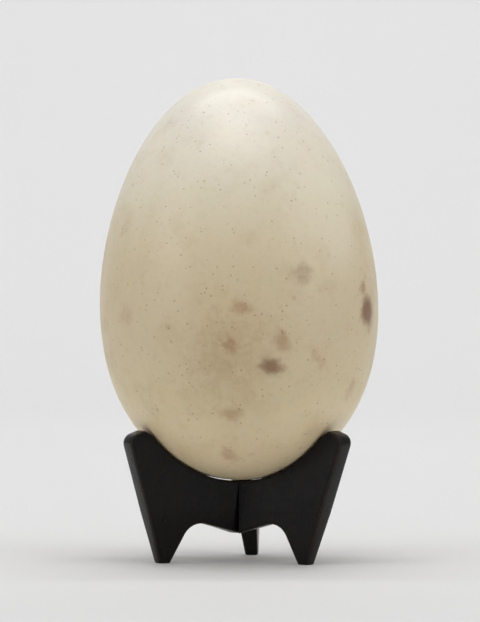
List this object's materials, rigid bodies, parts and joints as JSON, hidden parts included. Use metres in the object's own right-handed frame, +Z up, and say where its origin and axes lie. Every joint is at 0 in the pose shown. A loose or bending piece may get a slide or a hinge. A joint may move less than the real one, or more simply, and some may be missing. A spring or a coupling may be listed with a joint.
{
  "type": "ostrich egg on stand",
  "caption": "Stained, blown ostrich egg standing blunt end down in a black wooden display stand made of mitred boards.",
  "frame": {"origin": "on the upright axis of the stand, at the level of the surface that the three feet stand on", "axes": "+Z up along the stand's axis, towards the egg's pointed end; -Y towards the side seen first, with one stand board behind and one to each side of it; +X to the right"},
  "size_m": [0.1175, 0.1174, 0.2037],
  "materials": {
    "eggshell": "satin",
    "black_lacquered_wood": "gloss"
  },
  "bodies": {
    "root": {"egg": "eggshell", "stand_board_left": "black_lacquered_wood", "stand_board_right": "black_lacquered_wood", "stand_board_back": "black_lacquered_wood"}
  },
  "joints": []
}
